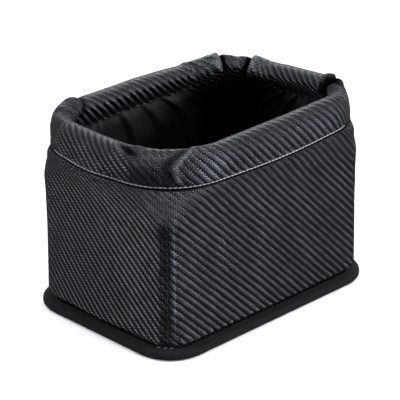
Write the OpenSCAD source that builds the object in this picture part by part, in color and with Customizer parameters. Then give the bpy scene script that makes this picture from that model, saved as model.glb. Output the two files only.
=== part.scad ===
// Soft-sided open bin for a car: a padded leathercloth sleeve with a gathered, rolled rim,
// a waterproof lining, and a stiff base whose edge is bound with tape all round.
// Millimetres. +Z is up, X runs along the long side, the origin is the middle of the underside.

/* [Body] */
// Outer length of the sleeve at its foot
body_l = 188; // [160:1:260]
// Outer width of the sleeve at its foot
body_w = 126; // [116:1:200]
// Height to the top of the rolled rim
bin_h = 146; // [130:1:200]
// Corner radius of the sleeve at its two blunter corners, back right and front left
wall_r = 13; // [9:1:16]
// Corner radius of the sleeve at its two sharper corners, at the foot
sharp_r = 5; // [5:0.5:10]
// Outward swell of the walls just under the hem
wall_swell = 4.2; // [3:0.2:5.4]
// Outward bow of each wall at its middle
side_bow = 3.5; // [0:0.5:4]
// Thickness of the leathercloth
leather_t = 1.0; // [0.7:0.1:1.3]
// Thickness of the foam pad in each wall
pad_t = 3.0; // [1.5:0.5:4]
// Thickness of the lining cloth
lining_t = 0.4; // [0.3:0.1:0.6]

/* [Base] */
// Width of the ledge that the bound base makes outside the sleeve
ledge_w = 11; // [11:0.5:14]
// Outer corner radius of the bound base
base_r = 30; // [26:1:34]
// Thickness of the base board
board_t = 2.4; // [1.8:0.1:3.4]
// Thickness of the leathercloth sheet under the base
cover_t = 1.0; // [0.7:0.1:1.3]
// Thickness of the binding tape
tape_t = 0.8; // [0.5:0.1:1]
// Width of each half of the folded binding tape
tape_w = 9; // [7:0.5:9.5]

/* [Rim] */
// Height of the hem, from its seam to the top of the rim
hem_h = 23.5; // [21:0.5:32]
// Thickness of the padded roll
roll_t = 14.4; // [12.4:0.2:15]
// Inset of the hoop's centre line from the foot of the sleeve
hoop_inset = 2.4; // [1:0.2:3.4]
// Bulge of the rim's outer side below the roll
rim_belly = 1.2; // [0.6:0.2:2]
// Hoop radius at the back right corner
hoop_r_back_right = 46; // [30:1:52]
// Hoop radius at the back left corner
hoop_r_back_left = 26; // [22:1:52]
// Hoop radius at the front left corner
hoop_r_front_left = 50; // [30:1:52]
// Hoop radius at the front right corner
hoop_r_front_right = 26; // [22:1:52]
// Diameter of the hoop wire
wire_d = 2.5; // [2:0.1:2.6]
// Sideways lean of the soft walls at the rim, towards the left end
rim_lean = 2; // [0:0.5:3]
// Depth of the deepest tuck in the rolled rim
tuck_depth = 2.4; // [0:0.1:2.6]
// Depth of the valley along each of the two corner seams
seam_depth = 0.5; // [0:0.1:0.8]

/* [Hidden] */
$fn = 64;

leather_colour = [0.13, 0.13, 0.14];
tape_colour = [0.09, 0.09, 0.085];
lining_colour = [0.05, 0.05, 0.05];
pad_colour = [0.2, 0.2, 0.2];
board_colour = [0.25, 0.24, 0.22];
wire_colour = [0.6, 0.6, 0.62];

// Clearance between soft layers that lie against each other, and round the wire
layer_gap = 0.3;
wire_gap = 0.25;

// Heights in the bound edge of the base
cover_z = tape_t;
board_z = cover_z + cover_t;
floor_z = board_z + board_t;
flange_z = floor_z + leather_t;
binding_h = flange_z + tape_t;

// Outlines in the bound edge: the layers stop where the fold's half circle starts
edge_r = base_r - ledge_w;
nose_r = binding_h / 2;
stack_d = ledge_w - nose_r;
board_d = stack_d + sqrt(pow(nose_r - tape_t - layer_gap, 2) - pow(board_t / 2, 2));

// The foot of the sleeve turns out to its flange just inside the edge of the tape, corners included
fillet_r = 0.8;
foot_gap = 0.2;
foot_r = max(wall_r, base_r - tape_w - fillet_r
    - ((ledge_w - tape_w - fillet_r) * sqrt(2) - foot_gap) / (sqrt(2) - 1));

// The hem seam, the hoop and the padded roll
foot_z = flange_z + fillet_r;
seam_z = bin_h - hem_h;
pad_top_z = seam_z - 6;
roll_r = roll_t / 2;
hoop_z = bin_h - roll_r;
hoop_d = -hoop_inset;
hem_edge_z = seam_z - 1.5;
lining_top_z = seam_z + 3;

// Depth of each layer's outer face behind the outer face of the wall
pad_depth = leather_t + layer_gap;
lining_depth = pad_depth + pad_t + layer_gap;
inside_depth = lining_depth + lining_t;

// The hem seam pinches the walls: outer leather, lining and turned leather lie flat together
groove_d = wall_swell - 1.3;
hem_layers = 2 * leather_t + lining_t + 2 * layer_gap;
seam_inner_d = groove_d - hem_layers;

// Shape of a wall: [share of its height, share of the swell]
wall_shape = [[0, 0], [0.012, 0.13], [0.035, 0.25], [0.5, 0.36], [0.76, 0.56], [0.9, 0.8], [1, 1]];

// The corners open from the wall's radius to the hoop's: they start at turn_share of the seam's
// height and are seam_share of the way there at the seam
turn_share = 0.8;
seam_share = 0.9;

// Above the foot the walls swell out over the tape within this height
rise_h = 3.8;
least_r = 0.6;

// Stations run once round the plan: corner k is k to k + 0.5, the side after it k + 0.5 to k + 1.
// The corners are back right, back left, front left and front right.
corner_sign = [[1, 1], [-1, 1], [-1, -1], [1, -1]];
hoop_radii = [hoop_r_back_right, hoop_r_back_left, hoop_r_front_left, hoop_r_front_right];
arc_steps = 9;
side_steps = [6, 4, 6, 4];

// Tucks in the rolled rim: [station, share of the deepest]
tucks = [[0.125, 0.9], [0.32, 1], [0.5, 0.5], [0.78, 0.3],
         [1.03, 1], [1.2, 0.4],
         [2.04, 0.2], [2.12, 0.2], [2.355, 0.2],
         [3.36, 0.9], [3.45, 1]];
tuck_half = 0.026;
outer_tuck = 0.35;
inner_belly = 0.3;

// The sleeve's two panels are sewn together at the back right and the front left corner
seam_stations = [0.22, 2.22];
seam_half = 0.015;

function mix(a, b, t) = a + (b - a) * t;
function clamp01(t) = min(1, max(0, t));
function flat(v) = [for (a = v) each a];
function reversed(v) = [for (i = [len(v) - 1:-1:0]) v[i]];
function sorted(v) = len(v) < 2 ? v : let (p = v[floor(len(v) / 2)])
    concat(sorted([for (x = v) if (x < p) x]), [for (x = v) if (x == p) x], sorted([for (x = v) if (x > p) x]));

// Stations of a plain layer, and of a layer that follows the tucks
plain_stations = flat([for (k = [0:3]) concat(
    [for (i = [0:arc_steps - 1]) k + 0.5 * i / arc_steps],
    [for (i = [0:side_steps[k] - 1]) k + 0.5 + 0.5 * i / side_steps[k]])]);
folds = concat([for (t = tucks) [t[0], tuck_half]], [for (u = seam_stations) [u, seam_half]]);
tuck_stations = sorted(concat(
    [for (u = plain_stations) if (min([for (t = folds) abs(u - t[0]) / t[1]]) > 1.25) u],
    [for (t = folds) for (e = [-1, 0, 1]) t[0] + e * t[1]]));

// A valley of full depth at the station c that is level again half_u away
function valley(u, c, half_u) = max(0, 1 - abs(u - c) / half_u);
function tuck_at(u) = tuck_depth * max([for (t = tucks) t[1] * valley(u, t[0], tuck_half)]);
function seam_at(u) = seam_depth * max([for (c = seam_stations) valley(u, c, seam_half)]);

// How far the corners have opened at a height: 0 on the wall, 1 on the hoop
function hoop_share(z) = z < seam_z
    ? seam_share * pow(clamp01((z / seam_z - turn_share) / (1 - turn_share)), 1.6)
    : mix(seam_share, 1, clamp01((z - seam_z) / (hoop_z - seam_z)));
function height_share(z) = clamp01((z - foot_z) / (hoop_z - foot_z));
function rise_share(z) = sin(90 * clamp01((z - foot_z) / rise_h));
function bow_at(z) = side_bow * rise_share(z) * pow(1 - clamp01((z - seam_z) / (hoop_z - seam_z)), 1.6);
function lean_at(z) = rim_lean * pow(height_share(z), 2);

// Radius of corner k, and its centre, on the outline at the height z that lies d outside the foot
function flange_spread(d, z) = z < foot_z ? (edge_r - foot_r) * max(0, d) / stack_d : 0;
function body_r(k, z) = mix(foot_r, k % 2 == 0 ? wall_r : sharp_r * (1 + height_share(z)), rise_share(z));
function corner_r(k, d, z) = max(least_r,
    d + flange_spread(d, z) + mix(body_r(k, z), hoop_radii[k] - hoop_d, hoop_share(z)));
function corner_at(k, d, z) =
    [corner_sign[k][0] * (body_l / 2 + d - corner_r(k, d, z)) - lean_at(z),
     corner_sign[k][1] * (body_w / 2 + d - corner_r(k, d, z))];

// The point of that outline at the station u
function skin_at(u, d, z) =
    let (k = floor(u) % 4, n = (k + 1) % 4, t = 2 * (u - floor(u)), g = 90 * (k + min(t, 1)),
         dir = [cos(g), sin(g)], start = corner_at(k, d, z) + corner_r(k, d, z) * dir,
         end = corner_at(n, d, z) + corner_r(n, d, z) * dir,
         p = t < 1 ? start : mix(start, end, t - 1) + bow_at(z) * sin(180 * (t - 1)) * dir)
    [p[0], p[1], z];

// A section is a list of rows: [distance outside the foot, height, share of the tucks, share of the valley]
function wall_d(z) = wall_swell * lookup(clamp01((z - foot_z) / (pad_top_z - foot_z)), wall_shape);

foot_section = concat([[stack_d, flange_z, 0, 0]],
    [for (g = [270:-45:180]) [fillet_r + fillet_r * cos(g), foot_z + fillet_r * sin(g), 0, 0]]);
wall_section = concat(
    [for (s = wall_shape) if (s[0] > 0) let (z = mix(foot_z, pad_top_z, s[0])) [wall_d(z), z, 0, 1]],
    [[mix(wall_swell, groove_d, 0.55), seam_z - 2, 0, 0.6], [groove_d, seam_z, 0, 0.2]]);
rim_outer = [for (t = [0.1, 0.3, 0.6, 0.85])
    [mix(groove_d, hoop_d + roll_r, t) + rim_belly * sqrt(sin(180 * t)), mix(seam_z, hoop_z, t),
     outer_tuck * t, 1]];
rim_top = [for (g = [0:30:180])
    [hoop_d + roll_r * cos(g), hoop_z + roll_r * sin(g), mix(outer_tuck, 1, clamp01(g / 90)), 1 - g / 180]];
rim_inner = [for (t = [0.75, 0.4])
    [mix(seam_inner_d, hoop_d - roll_r, t) - inner_belly * rim_belly * sqrt(sin(180 * t)),
     mix(seam_z, hoop_z, t), t, 0]];

// Inner face of the lining: it leaves the tops of the pads and runs up into the hem seam
function lining_d(z) = z < pad_top_z ? wall_d(z) - inside_depth
    : mix(wall_swell - inside_depth, groove_d - leather_t - layer_gap - lining_t,
          clamp01((z - pad_top_z) / (seam_z - pad_top_z)));
hem_tail = [[seam_inner_d, seam_z, 0, 0],
            [lining_d(hem_edge_z) - layer_gap - leather_t, hem_edge_z, 0, 0]];
sleeve_section = concat(foot_section, wall_section, rim_outer, rim_top, rim_inner, hem_tail);

// The direction into the leather at each row, and the section that lies a depth behind it
function unit(v) = v / norm(v);
function into(s) = [for (i = [0:len(s) - 1])
    let (a = s[max(i - 1, 0)], b = s[min(i + 1, len(s) - 1)], t = unit([b[0] - a[0], b[1] - a[1]]))
    [-t[1], t[0]]];
function behind(s, depth) = let (n = into(s))
    [for (i = [0:len(s) - 1]) s[i] + depth * [n[i][0], n[i][1], 0, 0]];

// The closed outline of a section, pushed in along its directions at a station
function ring(outline, dirs, u) = [for (i = [0:len(outline) - 1])
    let (s = outline[i], push = s[2] * tuck_at(u) + s[3] * seam_at(u))
    skin_at(u, s[0] + push * dirs[i][0], s[1] + push * dirs[i][1])];

// Skin between rings of m points: wrap joins the last ring to the first
function skin_faces(m, rings, wrap) = flat([for (j = [0:rings - (wrap ? 1 : 2)]) flat([for (i = [0:m - 1])
    let (n = (i + 1) % m, next = ((j + 1) % rings) * m, a = j * m + i, b = j * m + n)
    [[a, next + n, b], [a, next + i, next + n]]])]);

// A band is an outline that goes once round the plan
module band(outline, dirs, us)
    polyhedron(flat([for (u = us) ring(outline, dirs, u)]), skin_faces(len(outline), len(us), true));

// The leathercloth: flange, walls, rolled rim and the turned hem inside
module outer_sleeve() {
    dirs = into(sleeve_section);
    color(leather_colour)
        band(concat(sleeve_section, reversed(behind(sleeve_section, leather_t))), concat(dirs, reversed(dirs)),
             tuck_stations);
}

// Waterproof lining: it stands on the lining floor and its top is sewn into the hem seam
lining_heights = concat([floor_z + lining_t, foot_z],
    [for (s = wall_shape) let (z = mix(foot_z, pad_top_z, s[0])) if (z > foot_z + 0.8 * rise_h) z],
    [seam_z, lining_top_z]);
module lining_wall() {
    outer = [for (z = lining_heights) [lining_d(z) + lining_t, z, 0, 0]];
    inner = [for (z = reversed(lining_heights)) [lining_d(z), z, 0, 0]];
    outline = concat(outer, inner);
    color(lining_colour) band(outline, into(outline), plain_stations);
}

// Foam pad between the sleeve and the lining, on the side that follows corner k: it stops
// short of the corners by this share of the side
pad_end = 0.02;
pad_heights = concat([floor_z], [for (s = wall_shape) mix(foot_z, pad_top_z, s[0])]);
module wall_pad(k) {
    rows = len(pad_heights);
    m = 2 * rows;
    us = [for (i = [0:side_steps[k]]) k + 0.5 + 0.5 * mix(pad_end, 1 - pad_end, i / side_steps[k])];
    outline = concat([for (z = pad_heights) [wall_d(z) - pad_depth, z]],
                     [for (z = reversed(pad_heights)) [wall_d(z) - pad_depth - pad_t, z]]);
    last = (len(us) - 1) * m;
    color(pad_colour)
        polyhedron([for (u = us) for (s = outline) skin_at(u, s[0], s[1])],
            concat(skin_faces(m, len(us), false),
                flat([for (i = [0:rows - 2]) let (j = m - 1 - i)
                    [[i, i + 1, j - 1], [i, j - 1, j],
                     [last + i, last + j - 1, last + i + 1], [last + i, last + j, last + j - 1]]])));
}

module wall_pad_back() wall_pad(0);
module wall_pad_left() wall_pad(1);
module wall_pad_front() wall_pad(2);
module wall_pad_right() wall_pad(3);

// Foam strip folded over the hoop: its two legs fill the roll, and the wire lies in the fold
channel_r = (wire_d / 2 + wire_gap) / cos(30);
leg_gap = 0.3;
module rim_foam() {
    first = len(foot_section) + len(wall_section) + 1;
    last = len(sleeve_section) - len(hem_tail) - 1;
    face = behind(sleeve_section, leather_t + layer_gap);
    outer = [for (i = [first:last]) face[i]];
    dirs = into(sleeve_section);
    foot = [for (c = [0, 1]) (outer[0][c] + outer[len(outer) - 1][c]) / 2];
    inner = concat([[foot[0] - leg_gap / 2, foot[1], 0, 0]],
        [for (g = [240:-60:-60]) [hoop_d + channel_r * cos(g), hoop_z + channel_r * sin(g), 0, 0]],
        [[foot[0] + leg_gap / 2, foot[1], 0, 0]]);
    color(pad_colour)
        band(concat(outer, inner),
             concat([for (i = [first:last]) dirs[i]], [for (s = inner) [0, 0]]), tuck_stations);
}

// Wire hoop that holds the rim open
module rim_hoop() {
    color(wire_colour)
        for (k = [0:3]) {
            n = (k + 1) % 4;
            g = 90 * (k + 1);
            c = corner_at(k, hoop_d, hoop_z);
            e = corner_at(n, hoop_d, hoop_z);
            start = c + corner_r(k, hoop_d, hoop_z) * [cos(g), sin(g)];
            end = e + corner_r(n, hoop_d, hoop_z) * [cos(g), sin(g)];
            translate([c[0], c[1], hoop_z])
                rotate([0, 0, 90 * k])
                    rotate_extrude(angle = 90) translate([corner_r(k, hoop_d, hoop_z), 0]) circle(d = wire_d);
            translate([start[0], start[1], hoop_z])
                rotate([0, 0, g]) rotate([-90, 0, 0]) cylinder(d = wire_d, h = norm(end - start));
        }
}

// Outline with corner radius r that lies d outside the foot of the sleeve
module outline(d, r) {
    l = body_l + 2 * d;
    w = body_w + 2 * d;
    square([l - 2 * r, w], center = true);
    square([l, w - 2 * r], center = true);
    for (s = corner_sign)
        translate([s[0] * (l / 2 - r), s[1] * (w / 2 - r)]) circle(r);
}

module lining_floor()
    color(lining_colour) translate([0, 0, floor_z])
        linear_extrude(lining_t) outline(-lining_depth, foot_r - lining_depth);

module base_board()
    color(board_colour) translate([0, 0, board_z])
        linear_extrude(board_t) outline(board_d, edge_r + board_d);

module base_cover()
    color(leather_colour) translate([0, 0, cover_z])
        linear_extrude(cover_t) outline(stack_d, edge_r + stack_d);

// Section of the folded tape: x is the distance outside the foot of the sleeve
module tape_section()
    difference() {
        union() {
            translate([ledge_w - tape_w, 0]) square([stack_d - ledge_w + tape_w, binding_h]);
            translate([stack_d, binding_h / 2]) circle(nose_r);
        }
        translate([ledge_w - tape_w - 1, tape_t])
            square([stack_d - ledge_w + tape_w + 1, binding_h - 2 * tape_t]);
        translate([stack_d, binding_h / 2]) circle(nose_r - tape_t);
    }

// Tape that is folded over the edge of the base and sewn through
module base_binding() {
    run = [body_w - 2 * edge_r, body_l - 2 * edge_r];
    color(tape_colour)
        for (k = [0:3]) {
            s = corner_sign[k];
            translate([s[0] * run[1] / 2, s[1] * run[0] / 2, 0])
                rotate([0, 0, 90 * k]) {
                    rotate_extrude(angle = 90) translate([edge_r, 0]) tape_section();
                    rotate([90, 0, 0]) linear_extrude(run[k % 2]) translate([edge_r, 0]) tape_section();
                }
        }
}

outer_sleeve();
wall_pad_front();
wall_pad_back();
wall_pad_left();
wall_pad_right();
lining_wall();
lining_floor();
rim_foam();
rim_hoop();
base_board();
base_cover();
base_binding();
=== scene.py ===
"""Looks of the soft-sided car bin: padded leathercloth walls with an embossed twill, a gathered
rolled rim, a waterproof lining and a stiff base bound with ribbed tape.
Sizes are millimetres up to the meshes, which are metres. Stations run once round the plan: corner k
is k to k + 0.5 and the side after it k + 0.5 to k + 1. The corners are back right, back left, front
left and front right."""

import math

import bmesh
import bpy
import numpy as np
from mathutils import Matrix, Vector


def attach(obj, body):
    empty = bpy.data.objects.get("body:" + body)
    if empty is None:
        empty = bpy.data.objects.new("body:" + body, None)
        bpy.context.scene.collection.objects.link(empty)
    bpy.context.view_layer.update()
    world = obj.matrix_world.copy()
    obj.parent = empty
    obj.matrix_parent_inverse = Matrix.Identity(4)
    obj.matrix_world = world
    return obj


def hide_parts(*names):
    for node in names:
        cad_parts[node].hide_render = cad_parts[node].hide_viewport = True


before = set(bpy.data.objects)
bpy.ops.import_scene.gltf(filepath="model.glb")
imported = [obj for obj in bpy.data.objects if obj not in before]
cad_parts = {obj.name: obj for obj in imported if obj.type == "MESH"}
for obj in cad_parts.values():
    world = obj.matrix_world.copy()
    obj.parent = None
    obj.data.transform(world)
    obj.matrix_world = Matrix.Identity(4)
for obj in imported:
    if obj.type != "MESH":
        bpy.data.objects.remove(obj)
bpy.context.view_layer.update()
MM = 0.001

# Cutting notes, the same as the named values of the part's source
BODY_L, BODY_W, BIN_H = 188.0, 126.0, 146.0
WALL_R, SHARP_R = 13.0, 5.0
WALL_SWELL, SIDE_BOW = 4.2, 3.5
LEATHER_T, PAD_T, LINING_T, GAP = 1.0, 3.0, 0.4, 0.3
LEDGE_W, BASE_R = 11.0, 30.0
BOARD_T, COVER_T, TAPE_T, TAPE_W = 2.4, 1.0, 0.8, 9.0
HEM_H, ROLL_T, HOOP_INSET, RIM_BELLY = 23.5, 14.4, 2.4, 1.2
HOOP_RADII = np.array([46.0, 26.0, 50.0, 26.0])
RIM_LEAN, INNER_BELLY = 2.0, 0.3
CORNER_X = np.array([1.0, -1.0, -1.0, 1.0])
CORNER_Y = np.array([1.0, 1.0, -1.0, -1.0])
FILLET_R, FOOT_GAP, RISE_H, LEAST_R = 0.8, 0.2, 3.8, 0.6
PAD_BELOW_SEAM, HEM_BELOW_SEAM, LINING_ABOVE_SEAM, PINCH = 6, 1.5, 3, 1.3
# The corners open from the wall's radius to the hoop's: they start at this share of the seam's height
# and are SEAM_SHARE of the way there at the seam
TURN_START, TURN_SPAN, SEAM_SHARE, TURN_POWER = 0.8, 0.2, 0.9, 1.6

FLOOR_Z = TAPE_T + COVER_T + BOARD_T
FLANGE_Z = FLOOR_Z + LEATHER_T
BINDING_H = FLANGE_Z + TAPE_T
EDGE_R = BASE_R - LEDGE_W
NOSE_R = BINDING_H / 2
STACK_D = LEDGE_W - NOSE_R
# The foot of the sleeve turns out to its flange just inside the edge of the tape, corners included
FOOT_ROOM = LEDGE_W - TAPE_W - FILLET_R
FOOT_R = max(WALL_R, BASE_R - TAPE_W - FILLET_R - (FOOT_ROOM * math.sqrt(2) - FOOT_GAP) / (math.sqrt(2) - 1))
FOOT_Z = FLANGE_Z + FILLET_R
SEAM_Z = BIN_H - HEM_H
PAD_TOP_Z = SEAM_Z - PAD_BELOW_SEAM
ROLL_R = ROLL_T / 2
HOOP_Z = BIN_H - ROLL_R
HOOP_D = -HOOP_INSET
HEM_EDGE_Z = SEAM_Z - HEM_BELOW_SEAM
LINING_TOP_Z = SEAM_Z + LINING_ABOVE_SEAM
PAD_DEPTH = LEATHER_T + GAP
LINING_DEPTH = PAD_DEPTH + PAD_T + GAP
INSIDE_DEPTH = LINING_DEPTH + LINING_T
GROOVE_D = WALL_SWELL - PINCH
SEAM_INNER_D = GROOVE_D - 2 * LEATHER_T - LINING_T - 2 * GAP
# The two corner seams stand at this station and two further on
SEAM_STATION = 2.22


def clamp01(t):
    return np.clip(t, 0.0, 1.0)


def mix(a, b, t):
    return a + (b - a) * t


def smooth(t):
    t = clamp01(t)
    return t * t * (3 - 2 * t)


def bump(x, half):
    """1 at x = 0, level again at half either side."""
    return 0.5 + 0.5 * np.cos(math.pi * np.clip(np.abs(x) / half, 0, 1))


def hump(x, width, power=2):
    """1 at x = 0, falling off to nothing within about two widths."""
    return np.exp(-((x / width) ** power))


def run_of(steps):
    """The places that steps lead to, starting at 0."""
    return np.concatenate([[0], np.cumsum(steps)])


def length_along(points):
    return run_of(np.linalg.norm(np.diff(points, axis=0), axis=1))


def weighted_run(weight):
    return run_of((weight[1:] + weight[:-1]) / 2)


def rim_share(z):
    """How far up from the hem seam to the hoop the heights z are."""
    return clamp01((z - SEAM_Z) / (HOOP_Z - SEAM_Z))


def hoop_share(z):
    low = SEAM_SHARE * clamp01((z / SEAM_Z - TURN_START) / TURN_SPAN) ** TURN_POWER
    return np.where(z < SEAM_Z, low, mix(SEAM_SHARE, 1.0, rim_share(z)))


def height_share(z):
    return clamp01((z - FOOT_Z) / (HOOP_Z - FOOT_Z))


def rise_share(z):
    return np.sin(math.pi / 2 * clamp01((z - FOOT_Z) / RISE_H))


def bow_at(z):
    return SIDE_BOW * rise_share(z) * (1 - rim_share(z)) ** TURN_POWER


def corner_r(k, d, z):
    blunt_or_sharp = np.where(k % 2 == 0, WALL_R, SHARP_R * (1 + height_share(z)))
    wall = mix(FOOT_R, blunt_or_sharp, rise_share(z))
    spread = np.where(z < FOOT_Z, (EDGE_R - FOOT_R) * np.maximum(0, d) / STACK_D, 0.0)
    return np.maximum(LEAST_R, d + spread + mix(wall, HOOP_RADII[k] - HOOP_D, hoop_share(z)))


def plan_parts(u):
    """Of each station: the corners before and after it, its share of the side between them, and the
    angle that the outline faces there."""
    u = u % 4.0
    before = np.floor(u).astype(int)
    turned = 2 * (u - before)
    facing = math.pi / 2 * (before + np.minimum(turned, 1))
    return before, (before + 1) % 4, np.clip(turned - 1, 0, 1), facing


def skin(u, d, z):
    """Points d outside the foot of the sleeve at the heights z, at the stations u."""
    u, d, z = np.broadcast_arrays(np.asarray(u, float), np.asarray(d, float), np.asarray(z, float))
    before, after, along, facing = plan_parts(u)
    out = np.stack([np.cos(facing), np.sin(facing)], -1)

    def arc(corner):
        r = corner_r(corner, d, z)
        lean = RIM_LEAN * height_share(z) ** 2
        x = CORNER_X[corner] * (BODY_L / 2 + d - r) - lean + r * out[..., 0]
        y = CORNER_Y[corner] * (BODY_W / 2 + d - r) + r * out[..., 1]
        return np.stack([x, y], -1)

    bow = bow_at(z) * np.sin(math.pi * along)
    xy = mix(arc(before), arc(after), along[..., None]) + bow[..., None] * out
    return np.concatenate([xy, z[..., None]], -1)


def base_skin(u, d, z):
    """As skin, for the rounder, straight-sided outline of the base."""
    u, d, z = np.broadcast_arrays(np.asarray(u, float), np.asarray(d, float), np.asarray(z, float))
    before, after, along, facing = plan_parts(u)
    r = EDGE_R + d
    x = mix(CORNER_X[before], CORNER_X[after], along) * (BODY_L / 2 - EDGE_R) + r * np.cos(facing)
    y = mix(CORNER_Y[before], CORNER_Y[after], along) * (BODY_W / 2 - EDGE_R) + r * np.sin(facing)
    return np.stack([x, y, z], -1)


# Shape of a wall: shares of its height and of the swell
WALL_SHARES = [0, 0.012, 0.035, 0.5, 0.76, 0.9, 1]
WALL_SWELLS = [0, 0.13, 0.25, 0.36, 0.56, 0.8, 1]


def wall_d(z):
    return WALL_SWELL * np.interp((z - FOOT_Z) / (PAD_TOP_Z - FOOT_Z), WALL_SHARES, WALL_SWELLS)


def lining_d(z):
    pad_end, seam_end = WALL_SWELL - INSIDE_DEPTH, GROOVE_D - LEATHER_T - GAP - LINING_T
    top = mix(pad_end, seam_end, clamp01((z - PAD_TOP_Z) / (SEAM_Z - PAD_TOP_Z)))
    return np.where(z < PAD_TOP_Z, wall_d(z) - INSIDE_DEPTH, top)


def fair_line(points, count, dense_end=None):
    """A run of count points on a smooth line through the points, closer together at its dense end, 0 or -1."""
    steps, samples, extra, reach = 16, 2001, 4, 4.5
    p = np.array(points, float)
    ends = np.vstack([2 * p[0] - p[1], p, 2 * p[-1] - p[-2]])
    fine = []
    for i in range(len(p) - 1):
        a, b, c, e = ends[i : i + 4]
        for t in np.linspace(0, 1, steps, endpoint=False):
            square, cube = 2 * a - 5 * b + 4 * c - e, 3 * b - a - 3 * c + e
            fine.append(0.5 * (2 * b + (c - a) * t + square * t * t + cube * t**3))
    fine = np.vstack([fine, p[-1]])
    run = length_along(fine[:, :2])
    even = np.linspace(0, run[-1], samples)
    weight = np.ones(samples) if dense_end is None else 1 + extra * hump(even - run[dense_end], reach)
    grown = weighted_run(weight)
    at = np.interp(np.linspace(0, grown[-1], count), grown, even)
    return np.stack([np.interp(at, run, fine[:, c]) for c in range(p.shape[1])], -1)


def ring_gap(u, c):
    """How far the stations u are past the station c, the short way round."""
    return (u - c + 2) % 4 - 2


def stations(count, start=0.0, tucks=()):
    """Stations once round the plan from start, closer together at the tucks."""
    finer, half = 4.0, 0.03
    grid = start + np.linspace(0, 4, 4001)
    weight = np.ones_like(grid)
    if len(tucks):
        weight = 1 + finer * np.max([bump(ring_gap(grid, c), half) for c in tucks], axis=0)
    run = weighted_run(weight)
    return np.interp(np.linspace(0, run[-1], count + 1), run, grid)


def row_lengths(grid):
    """How far along its own row each point of a grid lies."""
    return np.stack([length_along(row) for row in grid])


def lay_cloth(name, points, cloth, closed=True, thickness=0.0, offset=-1.0, folds=None):
    """A grid of cloth: points are its places in millimetres and cloth its places on the cut sheet in
    metres; folds says how much painted shade each point has in creases, under the hem and at the foot, how
    much painted highlight on a crease's lip, and how tight it is, which also paints a highlight on tight
    crests."""
    rows, columns = points.shape[:2]
    bm = bmesh.new()
    bmesh.ops.create_grid(bm, x_segments=columns - 1, y_segments=rows - 1, size=1.0)
    uv = bm.loops.layers.uv.new("Cloth")
    shade = bm.verts.layers.float_color.new("Folds") if folds is not None else None
    at = {}
    for v in bm.verts:
        i, j = round((v.co.y + 1) / 2 * (rows - 1)), round((v.co.x + 1) / 2 * (columns - 1))
        at[v] = (i, j)
        v.co = Vector(points[i, j] * MM)
        if shade:
            v[shade] = (*folds[i, j], 1.0)
    for face in bm.faces:
        face.smooth = True
        for loop in face.loops:
            loop[uv].uv = cloth[at[loop.vert]]
    if closed:
        bmesh.ops.remove_doubles(bm, verts=bm.verts, dist=1e-6)
    return put(name, bm, thickness, offset)


def put(name, bm, thickness=0.0, offset=-1.0):
    """Turns a mesh being built into a piece of the scene, with a wall of the thickness in millimetres."""
    mesh = bpy.data.meshes.new(name)
    bm.to_mesh(mesh)
    bm.free()
    piece = bpy.data.objects.new(name, mesh)
    bpy.context.scene.collection.objects.link(piece)
    if thickness:
        wall = piece.modifiers.new("Thickness", "SOLIDIFY")
        wall.thickness, wall.offset = thickness * MM, offset
    return piece


# ---------------------------------------------------------------- the sleeve's section
# Lines of (distance outside the foot of the sleeve, height), from the edge of the flange to the inner
# edge of the hem
def belly(t):
    return math.sqrt(math.sin(math.pi * t))


foot_line = [(d, FLANGE_Z) for d in (STACK_D, 5.0, 2.2, 0.8)] + [(0.23, FLANGE_Z + 0.23), (0.0, FOOT_Z)]
wall_heights = [
    mix(FOOT_Z, PAD_TOP_Z, s) for s in (0.012, 0.035, 0.1, 0.2, 0.35, 0.5, 0.63, 0.76, 0.83, 0.9, 0.96, 1.0)
]
wall_line = [(wall_d(z), z) for z in wall_heights]
pinch_line = [
    (WALL_SWELL - 0.1, SEAM_Z - 3.2),
    (mix(WALL_SWELL, GROOVE_D, 0.45), SEAM_Z - 1.4),
    (GROOVE_D - 0.3, SEAM_Z),
]
band_line = [
    (mix(GROOVE_D, HOOP_D + ROLL_R, t) + RIM_BELLY * belly(t), mix(SEAM_Z, HOOP_Z, t))
    for t in (0.1, 0.3, 0.6, 0.85)
]
roll_angles = [math.radians(g) for g in range(0, 181, 20)]
roll_line = [(HOOP_D + ROLL_R * math.cos(g), HOOP_Z + ROLL_R * math.sin(g)) for g in roll_angles]
inner_line = [
    (mix(SEAM_INNER_D, HOOP_D - ROLL_R, t) - INNER_BELLY * RIM_BELLY * belly(t), mix(SEAM_Z, HOOP_Z, t))
    for t in (0.75, 0.4)
]
tail_line = [(SEAM_INNER_D, SEAM_Z), (float(lining_d(HEM_EDGE_Z)) - GAP - LEATHER_T, HEM_EDGE_Z)]


def share_of(line, low, high):
    """Adds to each point its share of the section: -2 at the edge of the flange, 0 at the hem seam and 1
    at the inner edge of the hem."""
    return [(d, z, mix(low, high, i / max(1, len(line) - 1))) for i, (d, z) in enumerate(line)]


OUTSIDE_ROWS, OVER_ROWS, COLUMNS = 66, 52, 420
outside = share_of(foot_line, -2, -1.9) + share_of(wall_line, -1.8, -0.2) + share_of(pinch_line, -0.15, 0)
outside = fair_line(outside, OUTSIDE_ROWS, -1)
over = [outside[-1]] + share_of(band_line, 0.04, 0.3) + share_of(roll_line, 0.34, 0.76)
over = fair_line(over + share_of(inner_line, 0.82, 0.92) + share_of(tail_line, 0.98, 1.0), OVER_ROWS, 0)
section = np.vstack([outside, over[1:]])
hem_row = len(outside) - 1
# A row half way up the walls, which the cut sheet is measured on
WALL_ROW = 30

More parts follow.
